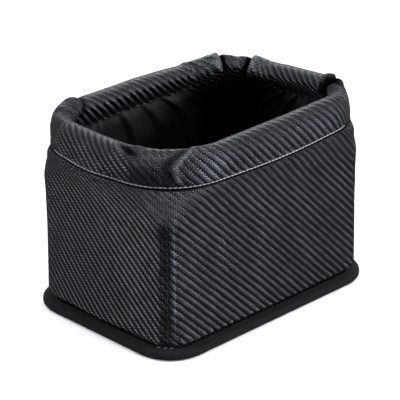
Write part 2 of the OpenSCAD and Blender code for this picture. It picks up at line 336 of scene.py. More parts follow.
# Creases of the gathered rim: their run over the roll as (station, share of the section), depth, width,
# height of the lip that overlaps them and how far it ramps up to them, in millimetres, and the side that
# the lip comes from: 1 from higher stations
CREASES = [
    ([(0.35, 0.28), (0.339, 0.5), (0.329, 0.62), (0.318, 0.75), (0.312, 0.95)], 4.8, 1.3, 3.4, 7.0, 1),
    ([(0.111, 0.3), (0.123, 0.52), (0.126, 0.66), (0.144, 0.82), (0.154, 0.95)], 4.8, 1.4, 3.0, 7.0, -1),
    ([(0.5, 0.42), (0.492, 0.6), (0.486, 0.75), (0.47, 0.9)], 1.4, 1.0, 1.2, 3.0, 1),
    ([(0.362, 0.69), (0.38, 0.705), (0.418, 0.723), (0.438, 0.786), (0.447, 0.91)], 1.2, 1.1, 0.5, 3.0, 1),
    ([(0.773, 0.6), (0.771, 0.68), (0.767, 0.85)], 1.6, 1.0, 1.3, 2.5, 1),
    (
        [(1.03, 0.32), (1.014, 0.48), (1.0, 0.58), (1.0, 0.66), (1.006, 0.72), (1.012, 0.8), (1.03, 0.95)],
        3.6, 7.0, 2.2, 5.0, 1,
    ),
    ([(1.2, 0.4), (1.19, 0.6), (1.16, 0.8)], 0.7, 1.4, 0.5, 3.0, -1),
    ([(1.42, 0.3), (1.44, 0.42), (1.45, 0.5)], 0.8, 1.6, 0.5, 4.0, 1),
    ([(2.035, 0.56), (2.05, 0.5), (2.085, 0.43), (2.09, 0.38)], 2.6, 1.4, 1.6, 3.0, 1),
    ([(2.075, 0.6), (2.1, 0.55), (2.14, 0.55)], 1.4, 1.0, 1.4, 2.5, -1),
    (
        [(2.352, 0.64), (2.335, 0.55), (2.275, 0.4), (2.245, 0.28), (2.262, 0.14), (2.285, 0.04)],
        1.7, 0.9, 2.0, 3.0, -1,
    ),
    ([(3.455, 0.36), (3.46, 0.5), (3.48, 0.6), (3.496, 0.74), (3.498, 0.9)], 4.6, 1.9, 2.0, 3.0, 1),
    (
        [(3.345, 0.34), (3.36, 0.48), (3.385, 0.55), (3.41, 0.66), (3.44, 0.78), (3.47, 0.9)],
        3.6, 1.6, 1.6, 4.0, 1,
    ),
]
# Places where the padding puffs the leathercloth out: station, share of the section, half width in
# stations, half height, millimetres
PUFFS = [(3.27, -0.05, 0.16, 0.42, 2.9), (1.25, -0.05, 0.14, 0.3, 1.5)]
# Places where the cloth is pulled tight, so its ridges stand out higher and their crests get a painted
# highlight: station, share of the section, half width in stations, half height, how much
PULLS_AND_HIGHLIGHTS = [
    (2.31, -1.0, 0.06, 0.95, 3.2),
    (2.44, 0.22, 0.14, 0.3, 1.6),
    (2.9, 0.22, 0.7, 0.28, 1.0),
    (3.35, 0.3, 0.2, 0.35, 1.0),
    (0.05, 0.72, 0.5, 0.2, 0.3),
    (2.45, -0.12, 0.16, 0.14, 1.2),
]
# Length of the section from the hem seam to the inner edge of the hem
OVER_RUN = 58.0

us = stations(COLUMNS, SEAM_STATION - 2, [u for run, *_ in CREASES for u, v in run])
plain = skin(us[None, :], section[:, :1], section[:, 1:2])
cloth_s = length_along(plain[WALL_ROW])
tangent = np.gradient(section[:, :2], axis=0)
tangent /= np.linalg.norm(tangent, axis=1)[:, None]
into = np.stack([-tangent[:, 1], tangent[:, 0]], -1)


def beside(S, W, run):
    """Distance of each place on the cloth to a crease, the side it lies on and how far along it."""
    best = np.full(S.shape, 1e9)
    side, share = np.zeros(S.shape), np.zeros(S.shape)
    for i, (a, b) in enumerate(zip(run[:-1], run[1:])):
        d = b - a
        t = clamp01(((S - a[0]) * d[0] + (W - a[1]) * d[1]) / (d @ d))
        away = np.hypot(S - a[0] - t * d[0], W - a[1] - t * d[1])
        nearer = away < best
        best = np.where(nearer, away, best)
        side = np.where(nearer, np.sign((S - a[0]) * d[1] - (W - a[1]) * d[0]), side)
        share = np.where(nearer, (i + t) / (len(run) - 1), share)
    return best, side, share


def from_start(u):
    return us[0] + (u - us[0]) % 4


def corner_seams(U, V):
    """How far the cloth lies in at the two corner seams: the flat strip over the seam, which fades out at
    the foot and below the hem, and the groove of the seam itself, which runs on over the roll."""
    strip_in, groove_in, groove_half, foot_share = 0.9, 0.5, 0.015, -1.8
    push = np.zeros(U.shape)
    for station in (SEAM_STATION, SEAM_STATION + 2):
        away = ring_gap(U, station)
        strip = smooth((away + 0.125) / 0.05) * (1 - smooth((away - 0.06) / 0.025))
        push += strip_in * strip * smooth((V + 1.85) / 0.1) * (1 - smooth((V + 0.25) / 0.3))
        push += groove_in * bump(away, groove_half) * (V > foot_share) * (1 - smooth((V - 0.6) / 0.3))
    return push


def sculpt(U, V, S):
    """How far the leathercloth is pushed in and slid along round the creases, at stations U, shares V of the
    section and lengths S along the cut sheet, and at each place its painted shade, its painted highlight on a
    crease's lip and how tight it is, which also paints a highlight on its crests."""
    full_depth, full_lip, end_share, deepest = 3.0, 2.0, 0.25, 0.95
    pucker_in, pucker_length, whole_pull = 0.8, 9.5, 0.5
    push, slide, painted_shade, lip_highlight = (np.zeros(U.shape) for _ in range(4))
    round_run = S.max()
    for run, depth, width, lip, ramp, lip_side in CREASES:
        path = np.array([(np.interp(from_start(u), us, cloth_s), v * OVER_RUN) for u, v in run])
        middle = path[:, 0].mean()
        near = (S - middle + round_run / 2) % round_run - round_run / 2 + middle
        away, side, share = beside(near, V * OVER_RUN, path)
        ends = smooth(share / end_share) * smooth((1 - share) / end_share)
        x = away * side * lip_side
        beyond = np.maximum(0, x)
        up = smooth(x + 0.5)
        push += mix(0.25, 1, ends) * (1 - up) * depth * hump(np.maximum(0, -x), width, 1.5)
        push -= ends * up * lip * np.exp(-beyond / ramp) * (1 - 0.35 * np.exp(-beyond / 0.8))
        slide -= ends * lip_side * 0.3 * lip * hump(x - 0.6, 1.4)
        # painted shade on the floor of the crease, darkest where the crease is deepest
        floor_of_crease = hump(np.abs(x + 0.7 * width), 0.95 * width, 4)
        painted_shade = np.maximum(painted_shade, min(1.0, depth / full_depth) * mix(0.35, 1, ends) * floor_of_crease)
        # painted highlight along the lip that overlaps the crease
        lip_highlight = np.maximum(lip_highlight, min(1.0, lip / full_lip) * ends * hump(x - 0.9, 0.6))
    fade = smooth((V - 0.02) / 0.1) * (1 - smooth((V - 0.93) / 0.07))
    push = push * fade + corner_seams(U, V)
    # puckers where the thread draws the cloth in
    wave = np.sin(2 * math.pi * S / pucker_length + 1.3 * np.sin(S / 21)) * (0.6 + 0.4 * np.sin(S / 37 + 1))
    push += pucker_in * wave * (bump(V + 0.13, 0.16) + 0.6 * bump(V - 0.07, 0.07))
    # painted shade: dark lines under the hem and along the foot
    painted_shade = np.maximum(painted_shade * fade, deepest * hump(V + 0.045, 0.035, 4))
    painted_shade = np.maximum(painted_shade, deepest * (1 - smooth((V + 1.79) / 0.05)))
    # how tight the cloth is: it raises the ridges and paints a highlight on their crests
    pulled_and_lit = np.zeros(U.shape)
    for station, high, wide, tall, much in PULLS_AND_HIGHLIGHTS:
        pulled_and_lit += whole_pull * much * bump(ring_gap(U, station), wide) * bump(V - high, tall)
    for station, high, wide, tall, out in PUFFS:
        push -= out * bump(ring_gap(U, station), wide) * bump(V - high, tall)
    return push, slide * fade, np.stack([painted_shade, lip_highlight * fade, pulled_and_lit], -1)


# The soft rim stands higher at some stations than at others: (station, millimetres)
RIM_LIFT = [
    (0.0, -3.4), (0.05, -4.5), (0.1, -3.0), (0.15, -1.0), (0.2, -2.3), (0.25, -1.9), (0.3, 0.3), (0.34, -0.8),
    (0.38, -3.9), (0.42, -4.2), (0.47, -3.7), (0.52, -2.9), (0.58, -1.1), (0.66, 0.1), (0.74, 1.1), (0.8, 1.2),
    (0.9, 1.7), (0.98, 2.4), (1.04, 3.4), (1.1, 2.2), (1.2, 1.8), (1.45, 1.4), (1.8, 1.0), (2.1, 2.0),
    (2.4, 1.8), (2.8, 1.0), (3.1, 1.8), (3.2, 1.2), (3.3, 3.1), (3.36, 5.6), (3.43, 4.5), (3.5, 2.8),
    (3.56, 2.6), (3.65, 1.7), (3.75, 0.7), (3.83, 0.1), (3.9, -0.6), (3.95, -1.3),
]


def lift_at(u, z):
    """How much higher the rim stands at the stations u, eased in from the hem seam to the hoop."""
    samples, wrap, spread = 401, 20, np.hanning(11)
    stations_at, heights = np.array(RIM_LIFT).T
    even = np.linspace(0, 4, samples)
    level = np.interp(even, stations_at, heights, period=4)
    wrapped = np.concatenate([level[-wrap - 1 : -1], level, level[1 : wrap + 1]])
    soft = np.convolve(wrapped, spread / spread.sum(), "same")[wrap:-wrap]
    return np.interp(u % 4.0, even, soft) * smooth((z - SEAM_Z) / (HOOP_Z - SEAM_Z))


def sculpted(rows):
    """Points of the sculpted sleeve, and its folds, at rows of the section, each with its direction in."""
    U = np.broadcast_to(us, (len(rows), len(us)))
    D, Z, V, in_d, in_z = (np.broadcast_to(rows[:, c][:, None], U.shape) for c in range(5))
    push, slide, folds = sculpt(U, V, np.broadcast_to(cloth_s, U.shape))
    along = U + slide / np.gradient(cloth_s, us)
    points = skin(along, D + push * in_d, Z + push * in_z)
    points[..., 2] += lift_at(U, points[..., 2])
    return points, folds


sleeve_points, sleeve_folds = sculpted(np.hstack([section, into]))


def cut_sheet(plain):
    """Places on the cut sheet: beside each straight side a row lies straight over the walls' row, and it is
    gathered to it round the corners."""
    past_seam = 2.4
    run = row_lengths(plain)
    s = np.empty_like(run)
    for i in range(run.shape[0]):
        marks, places = [us[0]], [run[WALL_ROW, 0]]
        for k in range(1, 5):
            middle = np.interp(k - 0.25, us, run[WALL_ROW])
            for u in (k - 0.5, k):
                marks.append(u)
                places.append(middle + np.interp(u, us, run[i]) - np.interp(k - 0.25, us, run[i]))
        marks.append(us[-1])
        places.append(run[WALL_ROW, -1])
        s[i] = np.interp(run[i], np.interp(marks, us, run[i]), places)
    s += np.where(us > SEAM_STATION, past_seam, 0.0)
    t = row_lengths(plain.swapaxes(0, 1)).T
    t = np.broadcast_to(t.mean(1)[:, None], s.shape)
    return np.stack([s, t], -1) * MM


sleeve_cloth = cut_sheet(plain)
sleeve = lay_cloth("sleeve_leathercloth", sleeve_points, sleeve_cloth, thickness=LEATHER_T, folds=sleeve_folds)


# ---------------------------------------------------------------- padding
PAD_ROWS, PAD_COLUMNS, PAD_START, PAD_END = 12, 15, 0.51, 0.99


def pad_of(k):
    """The foam pad in the wall after corner k, from the base board up to below the hem seam."""
    rows = [mix(FOOT_Z, PAD_TOP_Z, s) for s in np.linspace(0, 1, PAD_ROWS)]
    heights = np.concatenate([[FLOOR_Z], rows])
    run = mix(k + PAD_START, k + PAD_END, np.linspace(0, 1, PAD_COLUMNS))
    U, Z = np.meshgrid(run, heights)
    face = skin(U, wall_d(Z) - PAD_DEPTH, Z)
    cloth = np.stack([U, Z], -1) * MM
    name = "wall_pad_" + ("back", "left", "front", "right")[k] + "_foam"
    return lay_cloth(name, face, cloth, closed=False, thickness=PAD_T)


pads = [pad_of(k) for k in range(4)]

ROLL_FOAM_T = 2.5
foam_span = (section[:, 2] > 0.03) & (section[:, 2] < 0.93)
foam_rows = np.hstack([section, into])[foam_span]
foam_rows[:, :2] += (LEATHER_T + GAP) * foam_rows[:, 3:]
foam_points, _ = sculpted(foam_rows)
rim_roll = lay_cloth("rim_roll_foam", foam_points, sleeve_cloth[foam_span], thickness=ROLL_FOAM_T)

# ---------------------------------------------------------------- lining
# Soft upright folds of the lining: station, millimetres towards the middle, half width in stations,
# and how far down they reach, as a share of the height
LINING_FOLDS = [
    (0.05, 2.6, 0.05, 0.6), (0.13, 2.2, 0.03, 0.8), (0.2, 3.0, 0.045, 0.7), (0.3, 2.6, 0.06, 0.6),
    (0.4, 2.6, 0.05, 0.8), (0.5, 2.0, 0.05, 0.6), (0.6, 2.2, 0.045, 0.7), (0.68, 1.8, 0.035, 0.8),
    (0.77, 2.4, 0.05, 0.6), (0.87, 2.0, 0.045, 0.7), (0.94, 2.6, 0.035, 0.8), (1.08, 2.6, 0.06, 0.6),
    (1.3, 2.2, 0.06, 0.7), (1.55, 1.6, 0.05, 0.5), (1.75, 1.8, 0.06, 0.6), (1.98, 1.8, 0.05, 0.5),
    (2.25, 2.6, 0.06, 0.7), (2.6, 1.6, 0.05, 0.6), (2.85, 1.8, 0.06, 0.5), (3.1, 2.4, 0.05, 0.6),
    (3.3, 2.6, 0.06, 0.7), (3.46, 2.0, 0.05, 0.5), (3.57, 2.4, 0.04, 0.7), (3.66, 1.8, 0.035, 0.8),
    (3.75, 2.4, 0.04, 0.6), (3.84, 2.0, 0.04, 0.75), (3.93, 2.6, 0.04, 0.6),
]
LINING_ROWS, LINING_COLUMNS, LENGTH_PER_STATION = 44, 560, 150
SHARP_SIDE, RIPPLE_IN = 0.2, 0.3
lining_heights = np.linspace(FLOOR_Z + LINING_T, LINING_TOP_Z, LINING_ROWS)
LU, LZ = np.meshgrid(stations(LINING_COLUMNS), lining_heights)
hung = (LINING_TOP_Z - LZ) / (LINING_TOP_Z - FLOOR_Z)
folded = np.zeros(LU.shape)
for u, mm, wide, reach in LINING_FOLDS:
    off = ring_gap(LU, u) + 0.01 * np.sin(7 * hung + 7 * u)
    pleat = np.where(off < 0, bump(off, wide), bump(off, SHARP_SIDE * wide))
    folded += mm * pleat * smooth(hung / 0.05) * (1 - smooth((hung - 0.4 * reach) / (0.6 * reach)))
ripple = 1 + np.sin(47 * LU + 5 * hung) * np.cos(8 * hung + 11 * LU)
folded += RIPPLE_IN * smooth(hung / 0.1) * (1 - hung) * ripple
lining_points = skin(LU, lining_d(LZ) - folded, LZ)
lining_cloth = np.stack([LU * LENGTH_PER_STATION, LZ], -1) * MM
lining = lay_cloth("lining_wall_cloth", lining_points, lining_cloth, thickness=LINING_T, offset=1.0)


def plate(name, d, r, z0, z1):
    """A sheet with rounded corners that lies d outside the foot of the sleeve."""
    l, w = BODY_L / 2 + d, BODY_W / 2 + d
    bm = bmesh.new()
    bmesh.ops.create_grid(bm, x_segments=1, y_segments=1, size=1.0)
    for v in bm.verts:
        v.co = Vector((v.co.x * l * MM, v.co.y * w * MM, z0 * MM))
    bmesh.ops.bevel(
        bm,
        geom=list(bm.verts),
        affect="VERTICES",
        offset=r * MM,
        offset_type="OFFSET",
        segments=14,
        profile=0.5,
        material=-1,
    )
    raised = bmesh.ops.extrude_face_region(bm, geom=list(bm.faces))
    top = [v for v in raised["geom"] if isinstance(v, bmesh.types.BMVert)]
    bmesh.ops.translate(bm, verts=top, vec=(0, 0, (z1 - z0) * MM))
    bmesh.ops.recalc_face_normals(bm, faces=bm.faces)
    uv = bm.loops.layers.uv.new("Cloth")
    for face in bm.faces:
        for loop in face.loops:
            loop[uv].uv = loop.vert.co.xy
    return put(name, bm)


lining_base = plate("lining_floor_cloth", -LINING_DEPTH, FOOT_R - LINING_DEPTH, FLOOR_Z, FLOOR_Z + LINING_T)
base_sheet = plate("base_sheet_leathercloth", STACK_D, EDGE_R + STACK_D, TAPE_T, TAPE_T + COVER_T)

# ---------------------------------------------------------------- binding tape
nose_angles = [math.radians(g) for g in range(0, 181, 18)]
flat_part = (LEDGE_W - TAPE_W, 4.5, STACK_D - 0.6)
tape_line = (
    [(d, BINDING_H) for d in flat_part]
    + [(STACK_D + NOSE_R * math.sin(g), NOSE_R + NOSE_R * math.cos(g)) for g in nose_angles]
    + [(d, 0) for d in reversed(flat_part)]
)
TAPE_ROWS, TAPE_COLUMNS = 34, 240
tape_rows = fair_line(tape_line, TAPE_ROWS)
TU, TD = np.meshgrid(stations(TAPE_COLUMNS), tape_rows[::-1, 0])
TZ = np.broadcast_to(tape_rows[::-1, 1][:, None], TU.shape)
tape_points = base_skin(TU, TD, TZ)
tape_run = row_lengths(tape_points)[TAPE_ROWS // 2]
tape_across = length_along(tape_rows)
tape_cloth = np.stack(np.broadcast_arrays(tape_run[None, :], tape_across[:, None]), -1) * MM
tape = lay_cloth("binding_tape", tape_points, tape_cloth, thickness=TAPE_T)


# ---------------------------------------------------------------- threads
def sew(name, places, outward, length, gap, thick, lift, slant=0.0):
    """A row of stitches along places, which are millimetres: each one is a small spindle of thread."""
    run = length_along(places)
    count = int(run[-1] / (length + gap))
    pitch = run[-1] / count
    bm = bmesh.new()
    for i in range(count):
        ends = []
        for at in (i * pitch + gap / 2, (i + 1) * pitch - gap / 2):
            ends.append(np.array([np.interp(at, run, places[:, c]) for c in range(3)]))
        out = np.array([np.interp((i + 0.5) * pitch, run, outward[:, c]) for c in range(3)])
        out /= np.linalg.norm(out)
        axis = ends[1] - ends[0]
        side = np.cross(out, axis / np.linalg.norm(axis))
        axis = axis + slant * side
        size = np.linalg.norm(axis)
        x, z = Vector(axis / size), Vector(out)
        y = z.cross(x).normalized()
        z = x.cross(y)
        turn = Matrix((x, y, z)).transposed().to_4x4()
        middle = (ends[0] + ends[1]) / 2 + out * lift * thick
        shape = Matrix.Diagonal((size / 2 * MM, thick / 2 * MM, thick / 2 * MM, 1))
        place = Matrix.Translation(Vector(middle * MM)) @ turn @ shape
        lying = place @ Matrix.Rotation(math.pi / 2, 4, "Y")
        bmesh.ops.create_uvsphere(bm, u_segments=7, v_segments=6, radius=1.0, matrix=lying)
    for face in bm.faces:
        face.smooth = True
    return put(name, bm)


def outward_of(points):
    """Outward direction at each point of a grid."""
    normal = np.cross(np.gradient(points, axis=1), np.gradient(points, axis=0))
    return normal / np.linalg.norm(normal, axis=-1)[..., None]


sleeve_out = outward_of(sleeve_points)
hem_places, hem_out = sleeve_points[hem_row], sleeve_out[hem_row]
hem_stitches = sew("hem_stitches", hem_places, hem_out, length=3.2, gap=0.2, thick=0.75, lift=0.35)


def seam_rows(station, shift):
    """Places and outward directions along a corner seam, shift millimetres beside it, from above the foot
    to the top of the roll."""
    first_row, last_share = 9, 0.62
    cloth_at = (np.interp(station, us, cloth_s) + shift) % cloth_s[-1]
    column = min(np.interp(cloth_at, cloth_s, np.arange(len(us))), len(us) - 1.001)
    low, share = int(column), column - int(column)
    rows = slice(first_row, np.searchsorted(section[:, 2], last_share))
    places = mix(sleeve_points[rows, low], sleeve_points[rows, low + 1], share)
    return places, sleeve_out[rows, low]


BESIDE_SEAM = 1.4
seam_places = [(u, side * BESIDE_SEAM) for u in (SEAM_STATION, SEAM_STATION - 2) for side in (-1, 1)]
seam_stitches = [
    sew(f"corner_seam_stitches_{i}", *seam_rows(*place), length=2.6, gap=0.7, thick=0.5, lift=0.2)
    for i, place in enumerate(seam_places)
]


def on_tape(at, d, above):
    """Places and outward directions on the upper side of the tape, at the stations at, d outside the foot
    of the sleeve."""
    places = base_skin(at, d, BINDING_H + above)
    return places, np.broadcast_to(np.array([0.0, 0.0, 1.0]), places.shape)


row_places = on_tape(stations(400), 2.3, above=0.1)
base_stitches = sew("base_stitches", *row_places, length=2.5, gap=1.9, thick=1.3, lift=0.15, slant=0.6)
# loose ends of thread on the tape at the near corner, in a zigzag, painted light grey for their glints
ends_at = np.linspace(2.1, 2.3, 40)
end_places = on_tape(ends_at, 2.7 + 0.8 * np.sin(90 * ends_at), above=0.2)
thread_ends = sew("thread_ends", *end_places, length=2.9, gap=1.7, thick=0.35, lift=0.4, slant=-0.4)


# ---------------------------------------------------------------- finishes
def lit(colour, factor=1):
    """A colour made brighter or darker, as a socket takes it."""
    return (*[min(1, c * factor) for c in colour], 1)


class Bench:
    """A material being laid out, with short calls for its nodes."""

    def __init__(self, name, colour, rough):
        self.material = bpy.data.materials.new(name)
        self.material.use_nodes = True
        self.tree = self.material.node_tree
        self.shader = self.tree.nodes["Principled BSDF"]
        self.constant("Base Color", (*colour, 1))
        self.constant("Roughness", rough)

    def constant(self, socket_name, value):
        """Sets a socket of the shader itself."""
        self.shader.inputs[socket_name].default_value = value

    def surface(self, socket_name, value):
        """Leads a value to a socket of the shader."""
        self.feed(self.shader.inputs[socket_name], value)

    def node(self, kind, *values, **settings):
        made = self.tree.nodes.new(kind)
        for key, value in settings.items():
            setattr(made, key, value)
        for socket, value in zip(made.inputs, values):
            self.feed(socket, value)
        return made

    def feed(self, socket, value):
        if isinstance(value, bpy.types.NodeSocket):
            self.tree.links.new(value, socket)
        elif value is not None:
            socket.default_value = value

    def math(self, operation, *values):
        return self.node("ShaderNodeMath", *values, operation=operation).outputs[0]

    def ramp(self, value, start, end, low, high):
        """low up to where the value is start, high from where it is end."""
        return self.node("ShaderNodeMapRange", value, start, end, low, high).outputs[0]

    def wave(self, value, length):
        """A sine along the value, which is metres, with the wave length in millimetres."""
        return self.math("SINE", self.math("MULTIPLY", value, 2 * math.pi / (length * MM)))

    def mix(self, share, a, b):
        """Colour a, going over to b with the share."""
        made = self.node("ShaderNodeMix", data_type="RGBA")
        self.feed(made.inputs[0], share)
        self.feed(made.inputs[6], a)
        self.feed(made.inputs[7], b)
        return made.outputs[2]

    def blend(self, share, a, b):
        """As mix, for plain values."""
        made = self.node("ShaderNodeMix", data_type="FLOAT")
        self.feed(made.inputs[0], share)
        self.feed(made.inputs[2], a)
        self.feed(made.inputs[3], b)
        return made.outputs[0]

    def cloth(self):
        """Where the point lies on the cut cloth: along it and across it, in metres."""
        split = self.node("ShaderNodeSeparateXYZ", self.node("ShaderNodeUVMap", uv_map="Cloth").outputs[0])
        return split.outputs[0], split.outputs[1]

    def noise(self, scale, detail=2.0, stretch=(1, 1, 1)):
        """Noise fixed to the piece, scale waves a metre."""
        place = self.node("ShaderNodeMapping", self.node("ShaderNodeTexCoord").outputs["Object"])
        place.inputs["Scale"].default_value = stretch
        made = self.node("ShaderNodeTexNoise", place.outputs[0])
        made.inputs["Scale"].default_value, made.inputs["Detail"].default_value = scale, detail
        return made.outputs[0]

    def relief(self, height, depth, under=None):
        """The surface's direction with the height as bumps, depth millimetres at 1, over another relief."""
        made = self.node("ShaderNodeBump")
        made.inputs["Strength"].default_value = 1.0
        made.inputs["Distance"].default_value = depth * MM
        self.feed(made.inputs["Height"], height)
        if under is not None:
            self.feed(made.inputs["Normal"], under)
        return made.outputs[0]


# Colours of the leathercloth: painted shade between the yarns, painted highlights on tight crests, on the lips
# of creases and on the inner roll's crests, and black for painted shade
SHADE_BETWEEN_YARNS, PAINTED_TIGHT_HIGHLIGHT = (0.001, 0.001, 0.0012, 1), (0.07, 0.08, 0.1, 1)
PAINTED_LIP_HIGHLIGHT, PAINTED_INNER_CREST_HIGHLIGHT, NO_LIGHT = (0.12, 0.125, 0.14, 1), (0.09, 0.092, 0.1, 1), (0.0002, 0.0002, 0.0003, 1)
YARN = 1.6
# How much more the ridges stand out from these distances above the hem seam on, in metres across the
# cut sheet, each within RIDGE_STEP
RIDGE_CHANGES, RIDGE_STEP = ((0.002, 0.6), (0.009, -0.8), (0.021, 0.5), (0.034, 1.6)), 0.007


def twill_finish(name, warp_colour, weft_colour, relief, hem_at):
    """Leathercloth embossed with a two-and-two twill: each float of a yarn is a small pillow. Its ridges
    stand higher where it is gathered, from hem_at metres across the cut sheet. Its colour carries painted
    shade and painted highlights."""
    b = Bench(name, warp_colour, 0.4)
    along, across = b.cloth()
    s, t = b.math("DIVIDE", along, YARN * MM), b.math("DIVIDE", across, YARN * MM)
    fs, ft = b.math("FRACT", s), b.math("FRACT", t)
    step = b.math("FLOORED_MODULO", b.math("ADD", b.math("FLOOR", s), b.math("FLOOR", t)), 4.0)
    weft_up = b.math("GREATER_THAN", step, 1.5)

    def pillow(x):
        """A rounded yarn: 1 in the middle of 0 to 1 and 0 at its sides."""
        off = b.math("MULTIPLY_ADD", x, 2.0, -1.0)
        return b.math("SUBTRACT", 1.0, b.math("MULTIPLY", off, off))

    # the yarns: each float runs over two yarns of the other set
    warp_run = b.math("MULTIPLY", b.math("ADD", step, ft), 0.5)
    weft_run = b.math("MULTIPLY", b.math("ADD", b.math("SUBTRACT", step, 2.0), fs), 0.5)
    warp = b.math("MULTIPLY", pillow(fs), b.math("POWER", pillow(warp_run), 0.3))
    weft = b.math("MULTIPLY", pillow(ft), b.math("POWER", pillow(weft_run), 0.3))
    yarns = b.blend(weft_up, warp, weft)
    # the ridges that the floats line up in
    phase = b.math("MULTIPLY", b.math("SUBTRACT", b.math("ADD", s, t), 3.0), math.pi / 2)
    ridge = b.math("MULTIPLY_ADD", b.math("COSINE", phase), 0.5, 0.5)
    folds = b.node("ShaderNodeAttribute", attribute_name="Folds").outputs["Color"]
    shade_paint, lip_highlight, tight_and_lit = b.node("ShaderNodeSeparateColor", folds).outputs
    gathered = b.math("MULTIPLY_ADD", tight_and_lit, 1.0, 0.6)
    for start, change in RIDGE_CHANGES:
        start += hem_at
        gathered = b.math("ADD", gathered, b.ramp(across, start, start + RIDGE_STEP, 0.0, change))
    uneven = b.ramp(b.noise(45.0, 2.0), 0.36, 0.64, 0.35, 1.3)
    gathered = b.math("MULTIPLY", gathered, uneven)
    height = b.math("MULTIPLY_ADD", yarns, 2.0, b.math("MULTIPLY", ridge, gathered))
    # soft dents under the embossing, and crinkles where the rim is gathered
    over_hem = b.ramp(across, hem_at, hem_at + 0.02, 0.15, 1.0)
    crinkle = b.math("MULTIPLY", b.noise(110.0, 2.5), over_hem)
    grain = b.noise(2600.0, 3.0)
    draped = b.relief(crinkle, 0.6, b.relief(b.noise(32.0, 2.0), 4.0))
    b.surface("Normal", b.relief(height, relief, b.relief(grain, 0.03, draped)))
    wear = b.noise(38.0, 4.0)
    raised = b.math("MULTIPLY", b.math("POWER", yarns, 0.5), b.math("ADD", 0.5, wear))
    # painted shade between the yarns: where a yarn is low the colour goes over to near black. The weft floats
    # are painted lighter than the warp floats, a painted sheen for the different shine of the two yarn
    # directions.
    colour = b.mix(raised, SHADE_BETWEEN_YARNS, b.mix(weft_up, lit(warp_colour), lit(weft_colour)))
    # painted highlight on the crests where the cloth is pulled tight
    colour = b.mix(b.math("MULTIPLY", b.math("MULTIPLY", tight_and_lit, ridge), raised), colour, PAINTED_TIGHT_HIGHLIGHT)
    # painted highlight along the lips of the creases
    colour = b.mix(b.math("MULTIPLY", lip_highlight, 0.5), colour, PAINTED_LIP_HIGHLIGHT)
    # the inner side of the roll: painted highlights on the crests, and painted shade in the grooves between
    # them
    inner = b.ramp(across, hem_at + 0.034, hem_at + 0.041, 0.0, 1.0)
    inner = b.math("MULTIPLY", inner, b.ramp(across, hem_at + 0.046, hem_at + 0.053, 1.0, 0.25))
    colour = b.mix(b.math("MULTIPLY", inner, b.math("POWER", ridge, 3.0)), colour, PAINTED_INNER_CREST_HIGHLIGHT)
    shaded = b.math("MAXIMUM", shade_paint, b.math("MULTIPLY", inner, b.ramp(ridge, 0.35, 0.6, 1.0, 0.0)))
    # painted shade in the valleys between the ridges, all over the cloth
    shaded = b.math("MAXIMUM", shaded, b.ramp(ridge, 0.1, 0.45, 0.35, 0.0))
    # painted shade: the shaded places are black and metallic, so that they mirror nothing; in the creases and
    # the shaded lines they are fully rough too
    b.surface("Base Color", b.mix(shaded, colour, NO_LIGHT))
    b.surface("Metallic", shaded)
    b.constant("Specular IOR Level", 0.5)
    polish = b.math("ADD", b.blend(weft_up, 0.32, 0.15), b.math("MULTIPLY", wear, 0.12))
    b.surface("Roughness", b.blend(shade_paint, polish, 1.0))
    return b.material


def ribbed_finish(name, colour, pitch):
    """Woven binding tape with ribs across it."""
    b = Bench(name, colour, 0.75)
    along, across = b.cloth()
    rib, weave = b.wave(along, pitch), b.wave(across, 0.5)
    height = b.math("ADD", b.math("MULTIPLY", rib, 0.5), b.math("MULTIPLY", weave, 0.15))
    fluff = b.noise(900.0, 4.0)
    b.surface("Normal", b.relief(height, 0.4, b.relief(fluff, 0.12)))
    # painted highlight: the tops of the ribs are painted up to two and a half times lighter
    raised = b.math("MULTIPLY", b.math("ADD", rib, 1.0), 0.5)
    b.surface("Base Color", b.mix(raised, lit(colour), lit(colour, 2.5)))
    b.surface("Roughness", b.math("ADD", 0.65, b.math("MULTIPLY", fluff, 0.25)))
    b.constant("Specular IOR Level", 0.15)
    b.constant("Sheen Weight", 0.02)
    return b.material


def lining_finish(name, colour):
    """Thin coated nylon with a fine plain weave and soft creases."""
    b = Bench(name, colour, 0.5)
    b.constant("Specular IOR Level", 0.18)
    along, across = b.cloth()
    weave = b.math("MULTIPLY", b.wave(along, 0.7), b.wave(across, 0.7))
    creases = b.noise(60.0, 4.0, (1.0, 1.0, 0.35))
    b.surface("Normal", b.relief(weave, 0.03, b.relief(creases, 1.2)))
    b.surface("Roughness", b.math("ADD", 0.4, b.math("MULTIPLY", creases, 0.25)))
    b.surface("Base Color", b.mix(creases, lit(colour), lit(colour, 1.8)))
    return b.material


def thread_finish(name, colour, shine=0.25):
    """Spun thread."""
    b = Bench(name, colour, 0.75)
    b.constant("Specular IOR Level", shine)
    lay = b.noise(1800.0, 2.0)
    b.surface("Normal", b.relief(lay, 0.08))
    b.surface("Base Color", b.mix(lay, lit(colour, 0.6), lit(colour, 1.3)))
    return b.material


def speckled_finish(name, colour, rough, scale, depth, metallic=0.0):
    """Foam, board and drawn wire: an even colour with its own fine grain."""
    b = Bench(name, colour, rough)
    grain = b.noise(scale, 4.0)
    b.surface("Normal", b.relief(grain, depth))
    b.surface("Base Color", b.mix(grain, lit(colour, 0.7), lit(colour, 1.3)))
    b.constant("Metallic", metallic)
    return b.material


# the weft's lighter colour is a painted sheen; both sets of yarns are the same dark leathercloth
WARP, WEFT = (0.002, 0.002, 0.0025), (0.0065, 0.007, 0.0095)
hem_seam_at = float(sleeve_cloth[hem_row, 0, 1])
leathercloth = twill_finish("twill_leathercloth", WARP, WEFT, relief=0.3, hem_at=hem_seam_at)
cloth_black = lining_finish("lining_nylon", (0.0015, 0.0015, 0.0018))
tape_black = ribbed_finish("ribbed_tape", (0.0018, 0.0018, 0.0018), pitch=1.05)
